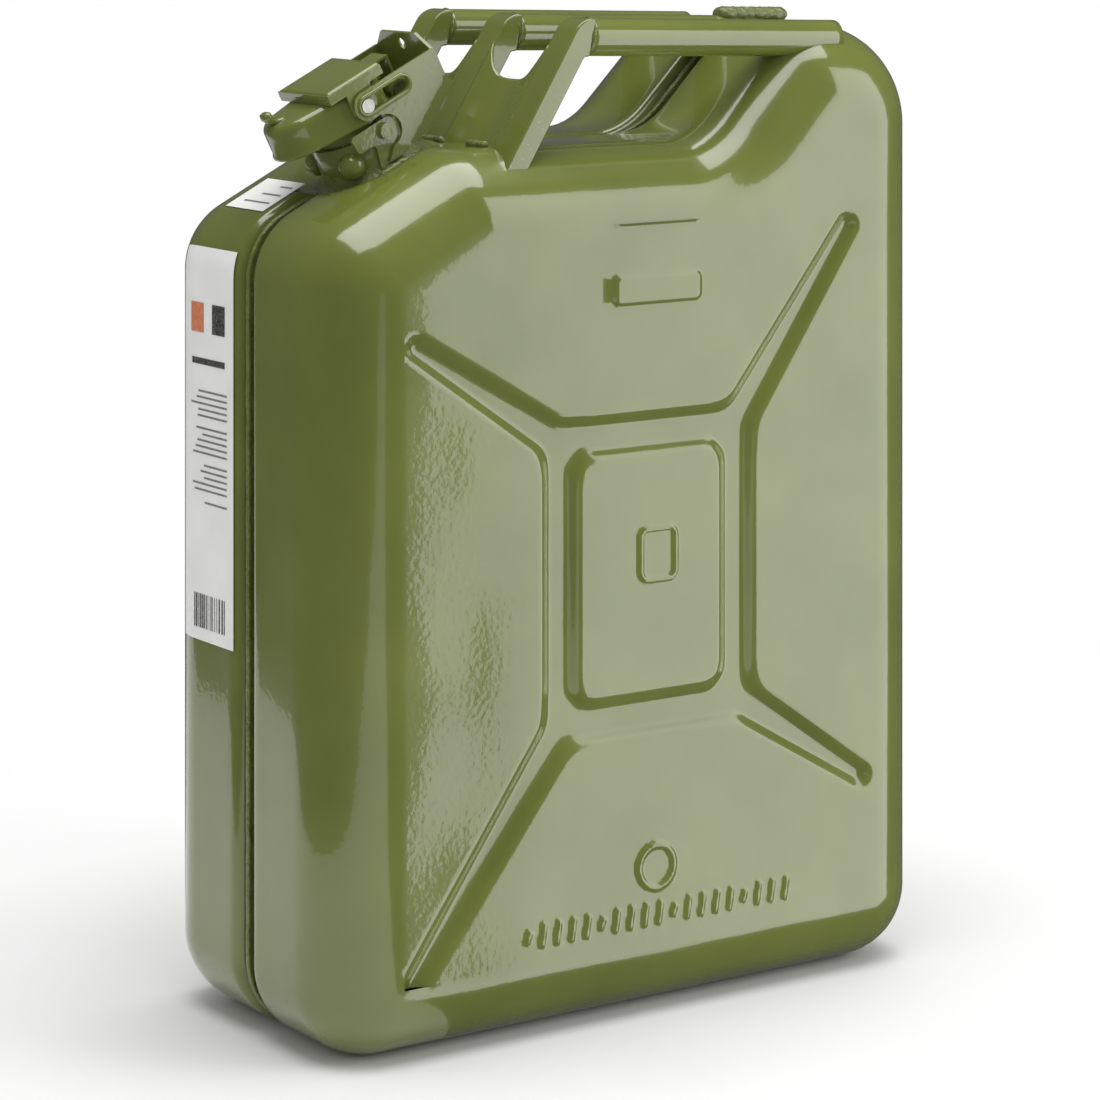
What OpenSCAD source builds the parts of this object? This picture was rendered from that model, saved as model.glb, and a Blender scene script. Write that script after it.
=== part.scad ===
// Pressed-steel jerry can: two welded half-shells, a triple handle and a
// tilted filler neck closed by a hinged lid with a lever.
//
// Frame: origin at the bottom centre, on the weld seam. +Z is up, -X is the
// spout end, and -Y is the left broad face. All sizes are in millimetres.

/* [Can body] */
// Length of the can, spout end to back
body_length = 345; // [320:1:370]
// Width across the two broad faces
body_width = 165; // [150:1:180]
// Height of the rear hump
hump_height = 463; // [455:1:475]
// Height of the trough under the handles
trough_height = 410; // [405:1:415]
// Distance from the back to the top of the trough's rear wall
hump_length = 71; // [66:1:80]
// Slope of the shoulder that carries the neck
slope_deg = 27; // [27:1:28]
// Thickness of the steel sheet
sheet = 1; // [0.8:0.1:1.2]
// Radius of every outside edge and corner of the can
edge_r = 36; // [30:1:36]

/* [Weld seam] */
// Width of the groove that protects the seam
groove_width = 12; // [10:1:14]
// Depth of that groove
groove_depth = 8; // [6:1:9]

/* [Stiffening cross] */
// Height of the centre of the pressed cross
cross_height = 209.5; // [200:0.5:220]
// Length of the raised centre pad
pad_length = 85; // [75:1:95]
// Height of the raised centre pad
pad_height = 115; // [105:1:125]
// Width of the pressed channels
channel_width = 12; // [9:1:14]
// Depth of the pressed channels
channel_depth = 3; // [2:0.5:4]

/* [Handles] */
// Distance between neighbouring handles
handle_pitch = 61.5; // [58:0.5:63]
// Diameter of each grip
grip_d = 18; // [16:1:20]
// Height of the top of the grips at their front end
grip_height = 470; // [468:1:472]

/* [Closure] */
// Outer radius of the filler neck's collar
neck_r = 21.5; // [21:0.1:21.5]
// Largest opening angle of the lid
lid_open_deg = 110; // [80:5:110]
// Radius of the lever's pivot pin
lever_pin_r = 3.4; // [3:0.1:3.6]
// Radius of the lid's hinge pin
hinge_pin_r = 2.5; // [2:0.1:2.5]

/* [Hidden] */
$fn = 64;

olive = [0.42, 0.46, 0.20];
raw_steel = [0.62, 0.62, 0.60];
rubber_black = [0.08, 0.08, 0.08];
paper_white = [0.93, 0.93, 0.92];

half_length = body_length / 2;
half_width = body_width / 2;
flat_y = half_width - edge_r; // the narrow faces are flat this far from the seam
far = 600;               // longer than the whole can
run_gap = 0.05;          // radial clearance of every pin that turns
seam_clear = groove_width / 2 + sheet;

// ---- outline of the can in the XZ plane -----------------------------------
trough_bend_r = 45;      // the hollow bend between trough and hump
rear_wall_deg = 45;
rear_cut = 25;           // the rear top corner turns in two steps, this far apart
slope_end = -97;         // X where the slope meets the trough

hump_front = half_length - hump_length;
trough_rear = hump_front - (hump_height - trough_height) / tan(rear_wall_deg);
slope_foot_z = trough_height - (slope_end + half_length) * tan(slope_deg);

// Each corner is [x, z, radius], counterclockwise as seen from the left.
CAN = [
    [-half_length, 0, edge_r],
    [half_length, 0, edge_r],
    [half_length, hump_height - rear_cut, edge_r],
    [half_length - rear_cut, hump_height, edge_r],
    [hump_front, hump_height, edge_r],
    [trough_rear, trough_height, trough_bend_r],
    [slope_end, trough_height, edge_r],
    [-half_length, slope_foot_z, edge_r]
];

// ---- rounded outlines ------------------------------------------------------
function at(path, i) = path[(i + len(path)) % len(path)];
function flat(corner) = [corner[0], corner[1]];
function heading(path, i) =
    let (step = flat(at(path, i + 1)) - flat(at(path, i))) atan2(step[1], step[0]);
function wrap(angle) = angle > 180 ? angle - 360 : angle <= -180 ? angle + 360 : angle;
function turn(path, i) = wrap(heading(path, i) - heading(path, i - 1));
function along(angle) = [cos(angle), sin(angle)];
function inward(angle) = [-sin(angle), cos(angle)];
function tangent(path, i) = at(path, i)[2] * tan(abs(turn(path, i)) / 2);
function arc_centre(path, i) =
    flat(at(path, i)) - tangent(path, i) * along(heading(path, i - 1))
    + sign(turn(path, i)) * at(path, i)[2] * inward(heading(path, i - 1));
function arc_r(path, i, inset) = at(path, i)[2] - sign(turn(path, i)) * inset;
function arc_start(path, i, inset) =
    arc_centre(path, i) - sign(turn(path, i)) * arc_r(path, i, inset) * inward(heading(path, i - 1));
function arc_end(path, i, inset) =
    arc_centre(path, i) - sign(turn(path, i)) * arc_r(path, i, inset) * inward(heading(path, i));

// A closed outline with rounded corners, moved inwards by inset.
module outline(path, inset = 0) {
    difference() {
        union() {
            polygon([for (i = [0:len(path) - 1], end = [0, 1])
                end == 0 ? arc_start(path, i, inset) : arc_end(path, i, inset)]);
            for (i = [0:len(path) - 1])
                if (turn(path, i) > 0 && arc_r(path, i, inset) > 0)
                    translate(arc_centre(path, i)) circle(arc_r(path, i, inset));
        }
        for (i = [0:len(path) - 1])
            if (turn(path, i) < 0)
                translate(arc_centre(path, i)) circle(arc_r(path, i, inset));
    }
}

// Draws what is in the XZ plane, from one Y to another.
module across(from_y, to_y) {
    translate([0, to_y, 0]) rotate([90, 0, 0]) linear_extrude(to_y - from_y) children();
}

// The same on one side of the seam: -1 is the left side, 1 the right.
module beside(side, near, beyond) {
    across(min(side * near, side * beyond), max(side * near, side * beyond)) children();
}

// Section of one half's rim: x is the depth below the outline, y the distance
// from the seam, with the outer corner rounded.
module rim_section(side) {
    mirror([0, side > 0 ? 1 : 0]) {
        square([edge_r, flat_y]);
        intersection() {
            translate([0, flat_y]) square([edge_r, edge_r]);
            translate([edge_r, flat_y]) circle(edge_r);
        }
    }
}

// The outside of one half of the can is a flat core, a straight run of rim
// after each corner and a turned run round each corner.
module can_core(side) {
    beside(side, 0, half_width) outline(CAN, edge_r);
}

module can_run(side, i) {
    start = arc_end(CAN, i, 0);
    run = arc_start(CAN, i + 1, 0) - start;
    rotate([90, 0, 0]) translate(start) rotate(heading(CAN, i)) rotate([90, 0, 90])
        linear_extrude(norm(run)) rim_section(side);
}

module can_corner(side, i) {
    turned = turn(CAN, i);
    first = turned > 0 ? heading(CAN, i - 1) - 90 : heading(CAN, i) + 90;
    rotate([90, 0, 0]) translate(arc_centre(CAN, i)) rotate(first)
        rotate_extrude(angle = abs(turned))
            translate([arc_r(CAN, i, 0), 0])
                mirror([turned > 0 ? 1 : 0, 0]) rim_section(side);
}

module can_half(side) {
    for (i = [0:len(CAN) - 1]) can_corner(side, i);
    for (i = [0:len(CAN) - 1]) can_run(side, i);
    can_core(side);
}

// The inside of the can, stepped so that it stays clear of the rounded rim and
// of the groove along the seam.
module can_cavity() {
    inner_r = edge_r - sheet;
    across(-seam_clear, seam_clear) outline(CAN, groove_depth + sheet);
    for (side = [-1, 1], lean = [0, 30, 50, 70, 90]) {
        reach = flat_y + inner_r * sin(lean);
        across(min(side * seam_clear, side * reach), max(side * seam_clear, side * reach))
            outline(CAN, edge_r - inner_r * cos(lean));
    }
}

// ---- closure frame ---------------------------------------------------------
// The closure is drawn upright in its own frame, then tilted with the slope:
// its X runs up the slope to the rear and its Z is the neck's axis.
closure_x = -110.5;
closure_z = trough_height;
slope_z = (closure_x - slope_end) * sin(slope_deg);
seat_z = slope_z - 6;    // the pressed seat round the neck
seat_r = 28;

module on_slope() {
    translate([closure_x, 0, closure_z]) rotate([0, -slope_deg, 0]) children();
}

// Draws the children on both sides of the seam.
module both_sides() {
    children();
    mirror([0, 1, 0]) children();
}

// ---- half-shells -----------------------------------------------------------
arm_steep = 54;          // angle of the two steep arms
arm_shallow = 32;        // angle of the two shallow arms
arm_long = 116;
arm_short = 93;
ring_x = (pad_length + channel_width) / 2;
ring_z = (pad_height + channel_width) / 2;
flange_inset = 3;        // the welded edges end this far inside the outline

// One tapering arm of the cross, drawn from its root along +X.
module cross_arm(length, extra) {
    w = channel_width / 2 + extra;
    polygon([[-w, -w], [0, -w], [length, -w / 2], [length + w, 0], [length, w / 2], [0, w], [-w, w]]);
}

// The pressed cross: a ring round the centre pad and four arms.
module cross_outline(extra = 0) {
    rim = 2 * (channel_width + extra);
    translate([0, cross_height]) {
        difference() {
            square([pad_length + rim, pad_height + rim], center = true);
            square([pad_length - 2 * extra, pad_height - 2 * extra], center = true);
        }
        for (flip = [0, 180]) rotate(flip) {
            translate([ring_x, ring_z]) rotate(arm_steep) cross_arm(arm_long, extra);
            translate([ring_x, -ring_z]) rotate(-arm_shallow) cross_arm(arm_short, extra);
        }
    }
}

// The groove round the seam, which stops at the seat of the neck.
module seam_groove() {
    difference() {
        across(-groove_width / 2, groove_width / 2) difference() {
            translate([-far / 2, -far / 8]) square([far, far]);
            outline(CAN, groove_depth);
        }
        on_slope() cylinder(h = far, r = seat_r - 2, center = true);
    }
}

// The flat seat pressed into the slope round the neck.
module neck_seat(extra = 0) {
    on_slope() translate([0, 0, seat_z - extra]) cylinder(h = 60, r = seat_r + extra);
}

// The edge of the half-shell that is turned out into the groove to be welded.
module seam_flange(side) {
    difference() {
        beside(side, 0, sheet) difference() {
            outline(CAN, flange_inset);
            outline(CAN, groove_depth);
        }
        on_slope() cylinder(h = far, r = seat_r, center = true);
    }
}

// One half of the can, pressed from one sheet.
module half_shell(side) {
    difference() {
        can_half(side);
        difference() {
            can_cavity();
            neck_seat(sheet);
            beside(side, half_width - channel_depth - sheet, half_width + sheet) cross_outline(sheet);
        }
        seam_groove();
        neck_seat();
        beside(side, half_width - channel_depth, 2 * half_width) cross_outline();
        on_slope() cylinder(h = far, r = neck_r, center = true);
    }
    seam_flange(side);
}

module left_shell() {
    color(olive) half_shell(-1);
}

module right_shell() {
    color(olive) half_shell(1);
}

// The weld bead that joins the two turned-out edges. It stops at the neck's
// seat and under the feet and ends of the centre handle.
module seam_weld() {
    bead = 1.5;
    color(olive) difference() {
        across(-bead, bead) difference() {
            outline(CAN, flange_inset - bead);
            outline(CAN, flange_inset);
        }
        on_slope() cylinder(h = far, r = seat_r, center = true);
    }
}

// ---- handles ---------------------------------------------------------------
leg_deg = 58;            // lean of the front legs
leg_foot_x = -68;        // front of a foot, at the height of the trough
leg_depth = 13;          // fore-and-aft depth of a leg
leg_half = 8.5;          // half a leg's width
leg_step = 0.6;          // the legs' ends stay this far inside the grips' outline
leg_below = 14;          // the legs are cut to the can from this far below
handle_sheet = 1.5;
grip_fall_deg = 1.8;     // the grips drop a little to the rear
mitre_x = -26;           // where a leg meets its grip
mitre_lean = 4;
grip_rear = 126;         // X of the rear end of a grip
shoulder_r = 10;
bend_r = 1.6;
flare_height = 52;       // how far up a leg its flared skirt reaches
flare_reach = 20;        // how far the skirt spreads to the side

grip_low = grip_height - grip_d;
function leg_x(z) = leg_foot_x + (z - trough_height) / tan(leg_deg);

// Side view of a leg: foot, mitred end and rounded shoulder.
LEG = [
    [leg_x(trough_height - leg_below), trough_height - leg_below, bend_r],
    [leg_x(trough_height - leg_below) + leg_depth, trough_height - leg_below, bend_r],
    [leg_x(grip_low) + leg_depth, grip_low + leg_step, bend_r],
    [mitre_x, grip_low + leg_step, bend_r],
    [mitre_x + mitre_lean, grip_height - leg_step, bend_r],
    [leg_x(grip_height), grip_height - leg_step, shoulder_r]
];

// A front leg folded from sheet into a box section.
module handle_leg() {
    difference() {
        across(-leg_half, leg_half) outline(LEG);
        across(-leg_half + handle_sheet, leg_half - handle_sheet) outline(LEG, handle_sheet);
    }
}

// The flared skirt on one side of a leg, with a curved upper edge.
module leg_flare(side) {
    rise = (flare_height + leg_below) / sin(leg_deg);
    translate([leg_x(trough_height - leg_below), 0, trough_height - leg_below])
        rotate([0, 90 - leg_deg, 0]) rotate([90, 0, 90]) linear_extrude(handle_sheet)
            mirror([side < 0 ? 1 : 0, 0]) difference() {
                translate([leg_half - bend_r, 0]) square([flare_reach + bend_r, rise]);
                translate([leg_half + flare_reach, rise]) circle(flare_reach - bend_r);
            }
}

// A round grip tube, plugged at its rear end.
module grip_tube() {
    plug = 52;
    run = grip_rear - mitre_x - mitre_lean / 2;
    translate([grip_rear - run, 0, grip_height - grip_d / 2]) rotate([0, 90 + grip_fall_deg, 0])
        difference() {
            cylinder(h = run, r = grip_d / 2);
            translate([0, 0, -1]) cylinder(h = run - plug, r = grip_d / 2 - handle_sheet);
        }
}

// How far the rim has dropped below the outline, this far from the seam.
function rim_drop(y) = y <= flat_y ? 0 : edge_r - sqrt(pow(edge_r, 2) - pow(y - flat_y, 2));

// The can under an outer handle, as slices that step down round the rim.
module can_steps(side) {
    slices = 3;
    slice = 5;
    first = handle_pitch - 7;
    for (i = [0:slices]) {
        near = i == 0 ? 0 : first + (i - 1) * slice;
        beyond = i == slices ? half_width : first + i * slice;
        beside(side, near, beyond) outline(CAN, rim_drop(near));
    }
}

// An outer handle flares towards the middle, and is cut to the can's surface.
module outer_handle(side) {
    difference() {
        translate([0, side * handle_pitch, 0]) {
            handle_leg();
            leg_flare(-side);
            grip_tube();
        }
        can_steps(side);
    }
}

module left_handle() {
    color(olive) outer_handle(-1);
}

module right_handle() {
    color(olive) outer_handle(1);
}

// The centre handle flares to both sides and stands on the flat of the can.
module centre_handle() {
    color(olive) difference() {
        union() {
            handle_leg();
            leg_flare(-1);
            leg_flare(1);
            grip_tube();
        }
        across(-flat_y, flat_y) outline(CAN);
    }
}

// Short beads across the front of the feet, where the can is flat.
module handle_welds() {
    bead = 1.6;
    length = 12;
    outer_y = handle_pitch - leg_half - flare_reach + length / 2;
    for (y = [-outer_y, 0, outer_y])
        color(olive) difference() {
            translate([leg_foot_x - bead, y + length / 2, trough_height + bead]) rotate([90, 0, 0])
                cylinder(h = length, r = bead);
            translate([leg_foot_x, y, trough_height]) rotate([0, 90 - leg_deg, 0])
                translate([0, -grip_d, -grip_d]) cube([grip_d, 2 * grip_d, 3 * grip_d]);
        }
}

// ---- neck ------------------------------------------------------------------
neck_sheet = 1.5;
collar_top = 8;
collar_low = -20;
mouth_z = 27;            // height of the neck's rim
mouth_r = 18.3;
bore_r = mouth_r - neck_sheet;
lip_x = -19;             // centre of the pouring lip
lip_r = 13;
lip_depth = 7;

// The filler neck: a wide collar through the shells, a narrower mouth and a
// lip that throws the pour clear of the can.
module neck() {
    color(olive) on_slope() difference() {
        union() {
            translate([0, 0, collar_low]) cylinder(h = collar_top - collar_low, r = neck_r);
            cylinder(h = mouth_z, r = mouth_r);
            translate([lip_x, 0, mouth_z - lip_depth]) cylinder(h = lip_depth, r = lip_r);
        }
        translate([0, 0, collar_low - 1]) cylinder(h = far, r = bore_r);
        translate([lip_x, 0, mouth_z - lip_depth + neck_sheet]) cylinder(h = far, r = lip_r - neck_sheet);
    }
}

// Fillet weld between the neck and its seat, kept clear of the hook plates.
module neck_weld() {
    leg = 3;
    color(olive) on_slope() intersection() {
        rotate_extrude() polygon([[neck_r, seat_z], [neck_r + leg, seat_z], [neck_r, seat_z + leg]]);
        cube([far, 2 * neck_r - 0.4, far], center = true);
    }
}

// Two domed lugs on the front quarters of the collar.
module neck_lugs() {
    lug_r = 6.5;
    color(olive) on_slope() difference() {
        for (turned = [-135, 135]) rotate(turned) translate([neck_r, 0, -2]) sphere(lug_r);
        translate([0, 0, -far / 2]) cylinder(h = far, r = neck_r);
    }
}

// ---- lid hinge and lever layout, in the closure frame -----------------------
hinge_x = 28;
hinge_z = 15;
lever_x = 0.2;           // the lever's pivot on the lid
lever_z = 22.4;
stud_x = 4.5;            // the fixed studs that the lever hooks over
stud_z = 6.7;
stud_r = 4;
plate = 1.5;             // thickness of every strap and plate of the closure
hook_y = neck_r;         // inner face of the hook plates
saddle_y = 21.3;         // inner face of the saddle's sides
cheek_y = 23.4;          // inner face of the lever's cheeks
stud_tip = 25.4;

// Draws what is in the closure's XZ plane, from one Y to another.
module slab(from_y, to_y) {
    translate([0, to_y, 0]) rotate([90, 0, 0]) linear_extrude(to_y - from_y) children();
}

HOOK_PLATE = [
    [-6, seat_z, 0.5],
    [6, seat_z, 0.5],
    [9, -3, 3],
    [11.5, 12.5, 4],
    [-14, 12.5, 2],
    [-13, 3.5, 2],
    [-3, 3.5, 2]
];

// A strap that stands beside the neck and carries a stud.
module right_hook_plate() {
    color(olive) on_slope() {
        slab(hook_y, hook_y + plate) outline(HOOK_PLATE);
        slab(hook_y + plate, stud_tip) translate([stud_x, stud_z]) circle(stud_r);
    }
}

module left_hook_plate() {
    mirror([0, 1, 0]) right_hook_plate();
}

// Beads along the feet of the hook plates.
module hook_plate_welds() {
    bead = 1.6;
    length = 10;
    color(olive) on_slope() both_sides()
        translate([-length / 2, hook_y + plate + bead, seat_z + bead]) rotate([0, 90, 0])
            cylinder(h = length, r = bead);
}

// A forked bracket on the back of the neck that holds the hinge pin.
ear_y = 7;
ear_r = 5;
ear_root = 2.5;          // the ears start this far inside the collar's radius
module hinge_bracket() {
    low = -5;
    color(olive) on_slope() difference() {
        union() {
            intersection() {
                translate([0, 0, low]) difference() {
                    cylinder(h = collar_top - low, r = neck_r + plate);
                    translate([0, 0, -1]) cylinder(h = far, r = neck_r);
                }
                translate([0, -ear_y - plate, low]) cube([far, 2 * (ear_y + plate), far]);
            }
            both_sides() slab(ear_y, ear_y + plate) {
                translate([hinge_x, hinge_z]) circle(ear_r);
                polygon([
                    [neck_r - ear_root, low], [neck_r, low], [hinge_x + ear_r, collar_top],
                    [hinge_x + ear_r, hinge_z], [hinge_x - ear_r, hinge_z],
                    [neck_r, collar_top], [neck_r - ear_root, collar_top]
                ]);
            }
        }
        slab(-far, far) translate([hinge_x, hinge_z]) circle(hinge_pin_r);
        translate([0, 0, -far / 2]) cylinder(h = far, r = neck_r);
    }
}

module hinge_pin() {
    head = 1.2;
    reach = ear_y + plate;
    color(raw_steel) on_slope() {
        slab(-reach, reach) translate([hinge_x, hinge_z]) circle(hinge_pin_r);
        both_sides() slab(reach, reach + head) translate([hinge_x, hinge_z]) circle(hinge_pin_r + 1.3);
    }
}

// ---- lid -------------------------------------------------------------------
lid_r = 21.3;
chin_r = 16;
chin_x = 24.5;           // how far the chin stands forward of the neck's axis
lid_low = 14;
lid_top = 31.2;
lid_sheet = 1.2;
gasket_low = mouth_z;

// Egg-shaped plan of the lid: a round over the neck and a chin over its lip.
module egg(inset = 0) {
    lean = asin((lid_r - chin_r) / chin_x);
    wide = lid_r - inset;
    narrow = chin_r - inset;
    circle(wide);
    translate([-chin_x, 0]) circle(narrow);
    polygon([
        [-wide * sin(lean), wide * cos(lean)], [-chin_x - narrow * sin(lean), narrow * cos(lean)],
        [-chin_x - narrow * sin(lean), -narrow * cos(lean)], [-wide * sin(lean), -wide * cos(lean)]
    ]);
}

// The pressed cup that covers the mouth.
module lid() {
    color(olive) on_slope() difference() {
        translate([0, 0, lid_low]) linear_extrude(lid_top - lid_low) egg();
        translate([0, 0, lid_low - 1]) linear_extrude(lid_top - lid_sheet - lid_low + 1) egg(lid_sheet);
    }
}

module lid_gasket() {
    color(rubber_black) on_slope() translate([0, 0, gasket_low])
        linear_extrude(lid_top - lid_sheet - gasket_low) difference() {
            egg(lid_sheet + 0.3);
            circle(lid_r / 2);
        }
}

// The channel welded over the lid: it carries the lever's pin and ends in the
// barrel that turns on the hinge pin.
saddle_front = -16;
saddle_rear = 16;
saddle_top = 36;
module lid_saddle() {
    strap_y = ear_y - 0.3;
    barrel_r = 4.5;
    color(olive) on_slope() difference() {
        union() {
            slab(-saddle_y - plate, saddle_y + plate)
                translate([saddle_front, saddle_top - plate]) square([saddle_rear - saddle_front, plate]);
            for (x = [saddle_front, saddle_rear - plate])
                slab(-saddle_y, saddle_y) translate([x, lid_top]) square([plate, saddle_top - lid_top - plate]);
            both_sides() slab(saddle_y, saddle_y + plate) {
                translate([saddle_front, lid_top]) square([saddle_rear - saddle_front, saddle_top - lid_top]);
                translate([lever_x - 7, lever_z]) square([14, saddle_top - lever_z]);
                translate([lever_x, lever_z]) circle(7);
            }
            slab(-strap_y, strap_y) {
                translate([saddle_rear - plate, lid_top]) square([hinge_x + 2 - saddle_rear + plate, plate]);
                translate([hinge_x + 2 - plate, hinge_z]) square([plate, lid_top - hinge_z]);
                translate([hinge_x, hinge_z]) circle(barrel_r);
            }
        }
        slab(-far, far) translate([hinge_x, hinge_z]) circle(hinge_pin_r + run_gap);
        slab(-far, far) translate([lever_x, lever_z]) circle(lever_pin_r);
    }
}

// ---- lever -----------------------------------------------------------------
lever_tip_r = 7;
slot_length = 21;
hook_r = 8;              // inside radius of the hook round the stud
web_x = 43;
CHEEK = [
    [lever_x - lever_tip_r, -7, 1],
    [10, -7, 6],
    [42.5, 12, 8],
    [web_x + 2, 29.4, 2],
    [lever_x - lever_tip_r, 29.4, lever_tip_r]
];

// What is cut away under the pivot so that the stud can leave the hook.
module hook_mouth() {
    difference() {
        polygon([
            [-30, lever_z], [lever_x, lever_z], [lever_x, lever_z - lever_tip_r], [5, lever_z - lever_tip_r],
            [5, -1], [-3, -9.5], [-30, -9.5]
        ]);
        translate([lever_x, lever_z]) circle(lever_tip_r);
    }
}

module lever_cheek() {
    slot_r = lever_pin_r + run_gap;
    slab(cheek_y, cheek_y + plate) difference() {
        outline(CHEEK);
        translate([lever_x, lever_z]) circle(slot_r);
        translate([lever_x, lever_z - slot_r]) square([slot_length, 2 * slot_r]);
        translate([lever_x + slot_length, lever_z]) circle(slot_r);
        translate([stud_x, stud_z]) circle(hook_r);
        hook_mouth();
    }
}

// Two cheeks joined at the rear by a web that rises into a thumb tab.
module lever() {
    outer = cheek_y + plate;
    tab_half = 15;
    tab_top = 37;
    color(olive) on_slope() {
        both_sides() lever_cheek();
        difference() {
            translate([web_x, 0, 0]) rotate([90, 0, 90]) linear_extrude(plate)
                polygon([
                    [-outer, 14], [outer, 14], [outer, 28], [tab_half, tab_top], [-tab_half, tab_top], [-outer, 28]
                ]);
            translate([web_x - 1, 0, 31]) rotate([0, 90, 0]) cylinder(h = 2 * plate, r = 3);
        }
    }
}

// The two stub pins that the lever turns on, fixed in the saddle's sides.
module lever_pins() {
    tip = cheek_y + plate + 0.8;
    color(raw_steel) on_slope() both_sides() slab(saddle_y, tip)
        translate([lever_x, lever_z]) circle(lever_pin_r);
}

// ---- breather --------------------------------------------------------------
breather_r = 4;
breather_bore_r = 3;
breather_x = 11;
breather_top = mouth_z - 4;
breather_low = -30;      // where the pipe starts to bend
breather_bend = 14;
breather_run = 110;
breather_rise_deg = 4;   // the rear run climbs a little
breather_turn = 90 - slope_deg + breather_rise_deg;

// The pipe's path at one radius: down the neck, round a bend and to the rear.
// Each end runs on by extra.
module breather_path(r, extra = 0) {
    bend_x = breather_x + breather_bend;
    translate([breather_x, 0, breather_low]) cylinder(h = breather_top - breather_low + extra, r = r);
    translate([bend_x, 0, breather_low]) rotate([90, 0, 0]) rotate(180)
        rotate_extrude(angle = breather_turn) translate([breather_bend, 0]) circle(r);
    translate([
        bend_x - breather_bend * cos(breather_turn), 0, breather_low - breather_bend * sin(breather_turn)
    ])
        rotate([0, 180 - breather_turn, 0]) cylinder(h = breather_run + extra, r = r);
}

// The air pipe: down the back of the neck, then to the rear under the trough.
module breather_tube() {
    color(raw_steel) on_slope() difference() {
        breather_path(breather_r);
        breather_path(breather_bore_r, 1);
    }
}

// A clip that holds the pipe to the neck's bore.
module breather_clip() {
    ring = 1.2;
    color(raw_steel) on_slope() translate([0, 0, 6]) difference() {
        intersection() {
            union() {
                translate([breather_x, 0, 0]) cylinder(h = 5, r = breather_r + ring);
                translate([breather_x, -2, 0]) cube([10, 4, 5]);
            }
            cylinder(h = 5, r = bore_r);
        }
        translate([breather_x, 0, -1]) cylinder(h = 7, r = breather_r);
    }
}

// ---- labels ----------------------------------------------------------------
label_sheet = 0.3;

module side_label() {
    color(paper_white) translate([-half_length - label_sheet, 9, 178]) cube([label_sheet, 37, 176]);
}

module top_label() {
    color(paper_white) on_slope() translate([-50, 12, slope_z]) cube([21, 34, label_sheet]);
}

left_shell();
right_shell();
seam_weld();
left_handle();
centre_handle();
right_handle();
handle_welds();
neck();
neck_weld();
neck_lugs();
left_hook_plate();
right_hook_plate();
hook_plate_welds();
hinge_bracket();
hinge_pin();
lid();
lid_saddle();
lid_gasket();
lever();
lever_pins();
breather_tube();
breather_clip();
side_label();
top_label();
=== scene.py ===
"""Looks of the jerry can: dense pressed shells, handles, closure, labels, paint, light and camera.

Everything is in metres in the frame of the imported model: origin at the bottom
centre, +Z up, -X the spout end, -Y the left broad face.
"""

import math
import random

import bmesh
import bpy
import numpy as np
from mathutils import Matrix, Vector
from mathutils.geometry import delaunay_2d_cdt

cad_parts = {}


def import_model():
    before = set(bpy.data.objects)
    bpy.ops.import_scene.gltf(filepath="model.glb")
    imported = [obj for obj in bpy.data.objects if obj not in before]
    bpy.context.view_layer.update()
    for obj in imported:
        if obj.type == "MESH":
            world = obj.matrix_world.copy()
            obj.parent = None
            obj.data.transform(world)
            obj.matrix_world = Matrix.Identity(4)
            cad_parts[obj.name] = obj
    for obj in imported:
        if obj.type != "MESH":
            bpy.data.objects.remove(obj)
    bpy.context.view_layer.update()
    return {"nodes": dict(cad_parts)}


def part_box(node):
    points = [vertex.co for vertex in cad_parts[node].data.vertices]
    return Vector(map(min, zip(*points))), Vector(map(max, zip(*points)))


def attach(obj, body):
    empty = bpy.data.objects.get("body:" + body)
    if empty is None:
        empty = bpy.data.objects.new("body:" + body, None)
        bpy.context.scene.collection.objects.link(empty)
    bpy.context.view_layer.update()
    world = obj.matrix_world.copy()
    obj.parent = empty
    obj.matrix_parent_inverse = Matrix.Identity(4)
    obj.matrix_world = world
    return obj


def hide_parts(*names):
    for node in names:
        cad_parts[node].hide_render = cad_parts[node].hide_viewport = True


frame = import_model()
NODES = frame["nodes"]

MM = 0.001
LEFT, RIGHT = -1, 1

# ---- sizes read from the frame -------------------------------------------------
shell_low, shell_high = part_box("left_shell")
HALF_LENGTH = (shell_high.x - shell_low.x) / 2
HALF_WIDTH = -shell_low.y
HUMP_Z = shell_high.z

# ---- the can's outline, in the XZ plane ----------------------------------------
EDGE_R = 36 * MM
FLAT_Y = HALF_WIDTH - EDGE_R
TROUGH_Z = HUMP_Z - 53 * MM
SLOPE = math.radians(27)
SLOPE_END_X = -97 * MM
HUMP_FRONT_X = HALF_LENGTH - 71 * MM
TROUGH_REAR_X = HUMP_FRONT_X - (HUMP_Z - TROUGH_Z)
SLOPE_FOOT_Z = TROUGH_Z - (SLOPE_END_X + HALF_LENGTH) * math.tan(SLOPE)
CORNERS = [
    (-HALF_LENGTH, 0, EDGE_R),
    (HALF_LENGTH, 0, EDGE_R),
    (HALF_LENGTH, HUMP_Z, 50 * MM),
    (HUMP_FRONT_X, HUMP_Z, EDGE_R),
    (TROUGH_REAR_X, TROUGH_Z, 45 * MM),
    (SLOPE_END_X, TROUGH_Z, EDGE_R),
    (-HALF_LENGTH, SLOPE_FOOT_Z, EDGE_R),
]

# ---- the closure's own frame: u up the slope, v = Y, w along the neck ------------
CLOSURE = Vector((-110.5 * MM, 0, TROUGH_Z))
SEAT_W = -12.1 * MM


def from_closure(u, v, w):
    """A point of the closure's frame, in the row frame."""
    x = CLOSURE.x + u * math.cos(SLOPE) - w * math.sin(SLOPE)
    z = CLOSURE.z + u * math.sin(SLOPE) + w * math.cos(SLOPE)
    return (x, v, z)


# ---- small helpers ---------------------------------------------------------------
def smoothstep(low, high, x):
    t = np.clip((x - low) / (high - low), 0, 1)
    return t * t * (3 - 2 * t)


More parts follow.
